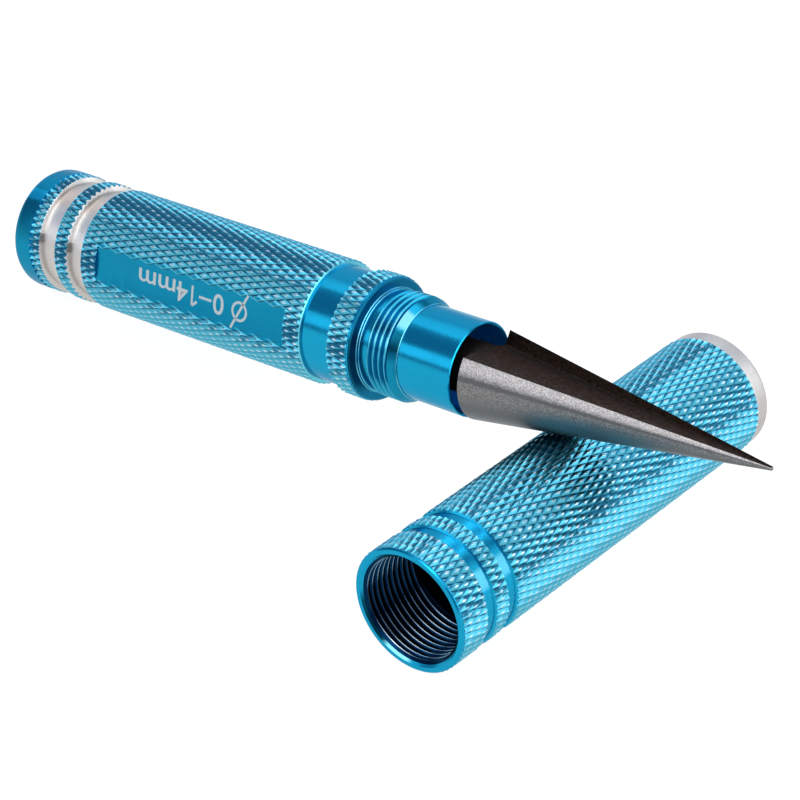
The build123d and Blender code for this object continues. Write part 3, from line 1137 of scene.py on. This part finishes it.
class REAMER_OT_blade(bpy.types.Operator):
    """Turn the cone, cut its flute, and add the shank"""
    bl_idname = "reamer.blade"
    bl_label = "Tapered blade"
    bl_options = {"REGISTER", "UNDO"}

    def execute(self, context):
        b, at = settings("blade"), handle_stations()
        base, tip, end = at["blade_base"], at["blade_tip"], at["shank_end"]
        cone = lathe("blade_cone", [(0, base), (b.radius, base), (b.tip_radius, tip), (0, tip)],
                     finish("steel", "handle"))
        combine(cone, flute_cutter(), "DIFFERENCE")
        hand_over(cone, "reamer_blade")
        shank = lathe("blade_shank", [(0, end), (b.shank_radius, end),
                                      (b.shank_radius, base + HAIR), (0, base + HAIR)])
        hand_over(shank, "reamer_blade", finish("flute", "handle"))
        return {"FINISHED"}


def arc_through(first, middle, last, steps):
    """Points along the circle through three points of a plane."""
    (ax, ay), (bx, by), (cx, cy) = first, middle, last
    d = 2 * (ax * (by - cy) + bx * (cy - ay) + cx * (ay - by))
    a2, b2, c2 = ax * ax + ay * ay, bx * bx + by * by, cx * cx + cy * cy
    ox = (a2 * (by - cy) + b2 * (cy - ay) + c2 * (ay - by)) / d
    oy = (a2 * (cx - bx) + b2 * (ax - cx) + c2 * (bx - ax)) / d
    radius = math.hypot(ax - ox, ay - oy)
    start = math.atan2(ay - oy, ax - ox)
    sweep = (math.atan2(cy - oy, cx - ox) - start + math.pi) % math.tau - math.pi
    return [Vector((ox + radius * math.cos(start + sweep * i / steps),
                    oy + radius * math.sin(start + sweep * i / steps)))
            for i in range(steps + 1)]


def rounded(corner, before, after, rounding):
    """The arc that rounds a corner between two directions, and how far back it starts."""
    one, two = (before - corner).normalized(), (after - corner).normalized()
    half = one.angle(two) / 2
    reach = rounding / math.tan(half)
    start, end = corner + one * reach, corner + two * reach
    shallow = corner + (one + two).normalized() * (rounding / math.sin(half) - rounding)
    return arc_through(start, shallow, end, CORNER_STEPS), reach


def flute_outline():
    """Corners of the flute's cutter across the base of the cone, in its plane."""
    b = settings("blade")
    near, far = [Vector((-b.radius * math.cos(turn), b.radius * math.sin(turn)))
                 for turn in (b.near_edge_turn, b.far_edge_turn)]
    crown, root = Vector((-b.crown_offset, b.crown_height)), Vector((b.root_offset, b.root_height))
    floor = arc_through(near, crown, root, FLOOR_STEPS)
    # the direction into the root is taken from a point of the floor a little before it
    corner, reach = rounded(root, floor[-4], far, b.root_rounding)
    floor = [p for p in floor if (p - root).length > reach] + corner
    above = 2 * b.radius
    return [Vector((-above, near.y)), *floor, far, far * 2 - root,
            Vector((above, above)), Vector((-above, above))]


def flute_cutter():
    """The flute as a solid, drawn in towards the apex of the cone."""
    b, at = settings("blade"), handle_stations()
    slope = (b.radius - b.tip_radius) / b.length
    apex = at["blade_base"] + b.radius / slope
    back, front = at["blade_base"] - SPARE, at["blade_tip"] + SPARE
    swell = (apex - back) / (apex - at["blade_base"])
    outline = [Vector((p.x * swell, p.y * swell, back)) for p in flute_outline()]
    cutter = draw_line("flute_cutter", outline + outline[:1])
    with editing(cutter):
        bpy.ops.mesh.remove_doubles(threshold=MERGE_DISTANCE)
        bpy.ops.mesh.edge_face_add()
        bpy.ops.mesh.extrude_region_move(TRANSFORM_OT_translate={"value": (0, 0, front - back)})
        left = (apex - front) / (apex - back)
        bpy.ops.transform.resize(value=(left, left, 1), center_override=(0, 0, front))
        merge_and_face_outwards()
    for kind in ("flute", "flute_wall"):
        cutter.data.materials.append(finish(kind, "handle"))
    for face in cutter.data.polygons:
        face.material_index = int(face.normal.x > WALL_FACING)
    return cutter


class REAMER_OT_size_mark(bpy.types.Operator):
    """Lay the size mark on the flat"""
    bl_idname = "reamer.size_mark"
    bl_label = "Size mark"
    bl_options = {"REGISTER", "UNDO"}

    def execute(self, context):
        m = settings("mark")
        tall, small = m.figure_height, m.letter_height
        middle, small_middle = m.baseline - tall / 2, m.baseline - small / 2
        signs = [
            ring_sign("mark_ring", m.ring_along, middle),
            bar_sign("mark_slash", m.ring_along, middle, m.slash, math.pi / 2 - m.slash_lean),
            letter_sign("mark_zero", "0", m.zero, middle, m.zero_width, tall),
            bar_sign("mark_dash", m.dash, m.baseline - m.dash_height * tall, m.dash_width, 0),
            bar_sign("mark_one", m.one - m.one_width / 4, middle, tall, math.pi / 2),
            bar_sign("mark_one_flag", m.one + m.one_width / 5, m.baseline - m.flag_height * tall,
                     m.one_width, m.flag_lean),
            letter_sign("mark_four", "4", m.four, middle, m.four_width, tall),
            letter_sign("mark_unit", "mm", m.unit, small_middle, m.unit_width, small),
        ]
        for sign in signs:
            with editing(sign):
                bpy.ops.mesh.extrude_region_move(
                    TRANSFORM_OT_translate={"value": (0, 0, m.thickness)})
                merge_and_face_outwards()
            hand_over(sign, "handle", finish("mark", "handle"), within=flat_place())
        return {"FINISHED"}


def ring_sign(name, station, across):
    """The flat ring of the ring sign."""
    m = settings("mark")
    deselect_all()
    bpy.ops.mesh.primitive_circle_add(vertices=RING_STEPS, radius=0.5, fill_type="NGON")
    piece = named(name)
    with editing(piece):
        bpy.ops.transform.resize(value=(m.ring_width, m.figure_height, 1))
        bpy.ops.mesh.inset(thickness=m.stroke)
        bpy.ops.mesh.delete(type="FACE")
    put_in_place(piece, Matrix.Translation((-station, -across, 0)))
    return piece


def bar_sign(name, station, across, long, turn):
    """A straight stroke with slightly rounded ends."""
    m = settings("mark")
    deselect_all()
    bpy.ops.mesh.primitive_plane_add(size=1)
    piece = named(name)
    with editing(piece):
        bpy.ops.transform.resize(value=(long, m.stroke, 1))
        bpy.ops.mesh.bevel(affect="VERTICES", offset=m.stroke / 5, segments=2)
    place = Matrix.Translation((-station, -across, 0)) @ Matrix.Rotation(turn, 4, "Z")
    put_in_place(piece, place)
    return piece


def letter_sign(name, letters, station, across, width, height):
    """Letters from the built-in face, drawn to a width and a height."""
    deselect_all()
    bpy.ops.object.text_add()
    text = bpy.context.object.data
    text.body = letters
    text.resolution_u = LETTER_STEPS
    text.offset = settings("mark").boldness
    bpy.ops.object.convert(target="MESH")
    piece = named(name)
    low, high = [Vector(limit(corner[axis] for corner in piece.bound_box) for axis in range(3))
                 for limit in (min, max)]
    size = high - low
    fit = Matrix.Diagonal((width / size.x, height / size.y, 1, 1))
    put_in_place(piece, Matrix.Translation((-station, -across, 0)) @ fit
                 @ Matrix.Translation(-(low + high) / 2))
    with editing(piece):
        bpy.ops.mesh.remove_doubles(threshold=MERGE_DISTANCE)
    return piece


class REAMER_OT_cap_body(bpy.types.Operator):
    """Turn the cap's core: mouth, grooves, bare end band, closed end and bore"""
    bl_idname = "reamer.cap_body"
    bl_label = "Cap body"
    bl_options = {"REGISTER", "UNDO"}

    def execute(self, context):
        c, grip, at = settings("cap"), settings("grip"), cap_stations()
        core = grip.radius - c.groove_depth
        band = grip.radius - c.end_band_depth
        land = grip.radius - c.mouth_land_depth
        behind_thread = c.thread_radius + OVERLAP / 2
        lip = c.thread_radius + c.mouth_chamfer_depth
        corners = [
            (lip, 0), (grip.radius - c.mouth_bevel, 0), (land, c.mouth_bevel - c.mouth_land_depth),
            (land, at["knurl"]), (core, at["knurl"]), (core, at["groove_1"]),
            (core, at["middle_knurl"]), (core, at["groove_2"]), (core, at["main_knurl"]),
            (core, at["end_band"]), (band, at["end_band"]), (band, at["end"], c.end_rounding),
            (0, at["end"]), (0, c.bore_depth), (c.bore_radius, c.bore_depth),
            (c.bore_radius, at["thread_end"]), (behind_thread, at["thread_end"]),
            (behind_thread, c.mouth_chamfer), (c.thread_radius, c.mouth_chamfer),
        ]
        turned_core("cap_body", "cap", corners, [
            ("band", (at["end_band"] + HAIR, at["end"] + HAIR), (0, grip.radius)),
            ("inside", (c.mouth_chamfer, c.bore_depth + HAIR), (0, behind_thread + HAIR)),
            ("mouth", (0, c.mouth_chamfer), (c.thread_radius, lip)),
            ("ring", (at["groove_1"], at["main_knurl"]), (core - NEAR, core + NEAR)),
        ])
        return {"FINISHED"}


class REAMER_OT_cap_knurls(bpy.types.Operator):
    """Knurl the cap's rings and its long grip"""
    bl_idname = "reamer.cap_knurls"
    bl_label = "Cap knurls"
    bl_options = {"REGISTER", "UNDO"}

    def execute(self, context):
        c, at = settings("cap"), cap_stations()
        upright, groove = (0, 0, "blue"), (c.groove_slope, c.groove_depth, "blue")
        rings = {
            "cap_knurl_mouth": (at["knurl"], at["groove_1"], upright, groove),
            "cap_knurl_middle": (at["middle_knurl"], at["groove_2"], groove, groove),
            "cap_knurl_main": (at["main_knurl"], at["end_band"], groove, upright),
        }
        for name, ends in rings.items():
            hand_over(cut_ring(name, "cap", *ends), "cap")
        return {"FINISHED"}


class REAMER_OT_cap_thread(bpy.types.Operator):
    """Cut the thread inside the cap's mouth"""
    bl_idname = "reamer.cap_thread"
    bl_label = "Cap thread"
    bl_options = {"REGISTER", "UNDO"}

    def execute(self, context):
        c, form, at = settings("cap"), settings("thread"), cap_stations()
        blue = finish("thread", "cap")
        crest = c.thread_radius - c.thread_depth
        inside, outside = crest - CLEARANCE, c.thread_radius + OVERLAP / 2 + SPARE / 2
        start, end = c.mouth_chamfer, at["thread_end"]
        tap = threaded_rod("cap_tap", -form.cap_start, end + RUN_ON, c.thread_radius, crest, blue)
        piece = lathe("cap_thread", [
            (outside, start), (c.thread_radius, start),
            (inside, start + c.thread_depth + CLEARANCE), (inside, end), (outside, end)], blue)
        combine(piece, tap, "DIFFERENCE")
        hand_over(piece, "cap")
        return {"FINISHED"}


# Stage

def direction(azimuth, elevation):
    """The direction from the middle of the scene to a place round it: azimuth 0 is in front."""
    return Vector((math.sin(azimuth) * math.cos(elevation),
                   -math.cos(azimuth) * math.cos(elevation), math.sin(elevation)))


# name, azimuth and elevation in degrees, distance, width and height in metres, brightness
SOFT_LIGHTS = [
    ("light_overhead", 40.0, 80.0, 1.3, 2.0, 2.0, 2.1),
    ("light_right", 103.0, 25.0, 1.4, 3.6, 1.2, 1.8),
    ("light_front_low", -27.0, 17.2, 1.4, 1.05, 0.46, 1.35),
    ("light_front_high", 14.0, 40.0, 1.5, 2.8, 0.5, 1.55),
    ("light_back_left", -128.0, 49.0, 1.4, 1.3, 0.5, 1.05),
    ("light_back", -147.0, 20.0, 1.6, 3.2, 1.05, 0.56),
]


class REAMER_OT_stage(bpy.types.Operator):
    """Set the floor, the soft lights and the camera"""
    bl_idname = "reamer.stage"
    bl_label = "Stage"
    bl_options = {"REGISTER", "UNDO"}

    def execute(self, context):
        scene, s = context.scene, settings("studio")
        lay_floor(s.floor_size)
        for light in SOFT_LIGHTS:
            hang_light(*light)
        scene.world = bpy.data.worlds.new("room")
        scene.world.use_nodes = True
        background = scene.world.node_tree.nodes["Background"]
        background.inputs["Color"].default_value = (*s.world_colour, 1.0)
        background.inputs["Strength"].default_value = s.world_light
        scene.camera = set_camera(s)
        scene.view_settings.view_transform = "Standard"
        return {"FINISHED"}


def lay_floor(size):
    """A pale floor that gives light of its own, as a light table does."""
    f = settings("finish")
    deselect_all()
    bpy.ops.mesh.primitive_plane_add(size=size)
    floor = named("floor")
    material = bpy.data.materials.new("floor")
    material.use_nodes = True
    look = {"Base Color": (*f.floor, 1.0), "Emission Color": (*f.floor_glow, 1.0),
            "Emission Strength": 1.0, "Roughness": 0.7, "Specular IOR Level": 0.2}
    for key, value in look.items():
        material.node_tree.nodes["Principled BSDF"].inputs[key].default_value = value
    floor.data.materials.append(material)


def hang_light(name, azimuth, elevation, distance, width, height, brightness):
    """One soft light that faces the middle of the scene."""
    deselect_all()
    bpy.ops.object.light_add(type="AREA")
    light = bpy.context.object
    light.name = name
    light.data.shape = "RECTANGLE"
    light.data.size, light.data.size_y = width, height
    light.data.energy = brightness * math.pi * width * height
    towards = direction(math.radians(azimuth), math.radians(elevation))
    light.location = towards * distance
    light.rotation_euler = towards.to_track_quat("Z", "Y").to_euler()


def set_camera(s):
    """The camera at the photograph's viewing angle."""
    deselect_all()
    bpy.ops.object.camera_add()
    camera = bpy.context.object
    camera.name = "camera"
    back = direction(s.azimuth, s.elevation)
    level = Vector((math.cos(s.azimuth), math.sin(s.azimuth), 0))
    right = Matrix.Rotation(s.roll, 3, back) @ level
    turned = Matrix((right, back.cross(right), back)).transposed().to_4x4()
    camera.matrix_world = Matrix.Translation(Vector(s.aim) + back * s.distance) @ turned
    camera.data.lens = s.lens
    camera.data.sensor_width = 36.0
    camera.data.clip_start, camera.data.clip_end = 0.01, 100.0
    return camera


OPERATORS = [
    REAMER_OT_handle_body,
    REAMER_OT_handle_knurls,
    REAMER_OT_spigot_thread,
    REAMER_OT_size_mark,
    REAMER_OT_blade,
    REAMER_OT_cap_body,
    REAMER_OT_cap_knurls,
    REAMER_OT_cap_thread,
    REAMER_OT_stage,
]


class REAMER_PT_tools(bpy.types.Panel):
    """Sizes, colours and the steps in which the reamer is made"""
    bl_idname = "REAMER_PT_tools"
    bl_label = "Sheet metal reamer"
    bl_space_type = "VIEW_3D"
    bl_region_type = "UI"
    bl_category = "Reamer"

    def draw(self, context):
        for operator in OPERATORS:
            self.layout.operator(operator.bl_idname)
        for name, group in SETTINGS.items():
            box = self.layout.box()
            box.label(text=group.__doc__.splitlines()[0])
            for key in group.__annotations__:
                box.prop(getattr(context.scene, name), key)


def register():
    """Register the classes and hang the settings on the scene."""
    for name, group in SETTINGS.items():
        bpy.utils.register_class(group)
        setattr(bpy.types.Scene, name, bpy.props.PointerProperty(type=group))
    for operator in OPERATORS:
        bpy.utils.register_class(operator)
    bpy.utils.register_class(REAMER_PT_tools)


def unregister():
    """Undo what register did."""
    bpy.utils.unregister_class(REAMER_PT_tools)
    for operator in reversed(OPERATORS):
        bpy.utils.unregister_class(operator)
    for name, group in reversed(SETTINGS.items()):
        delattr(bpy.types.Scene, name)
        bpy.utils.unregister_class(group)


def main():
    """Make the pieces and the stage in order."""
    register()
    bpy.ops.reamer.handle_body()
    bpy.ops.reamer.handle_knurls()
    bpy.ops.reamer.spigot_thread()
    bpy.ops.reamer.size_mark()
    bpy.ops.reamer.blade()
    bpy.ops.reamer.cap_body()
    bpy.ops.reamer.cap_knurls()
    bpy.ops.reamer.cap_thread()
    bpy.ops.reamer.stage()
    deselect_all()


if __name__ == "__main__":
    main()
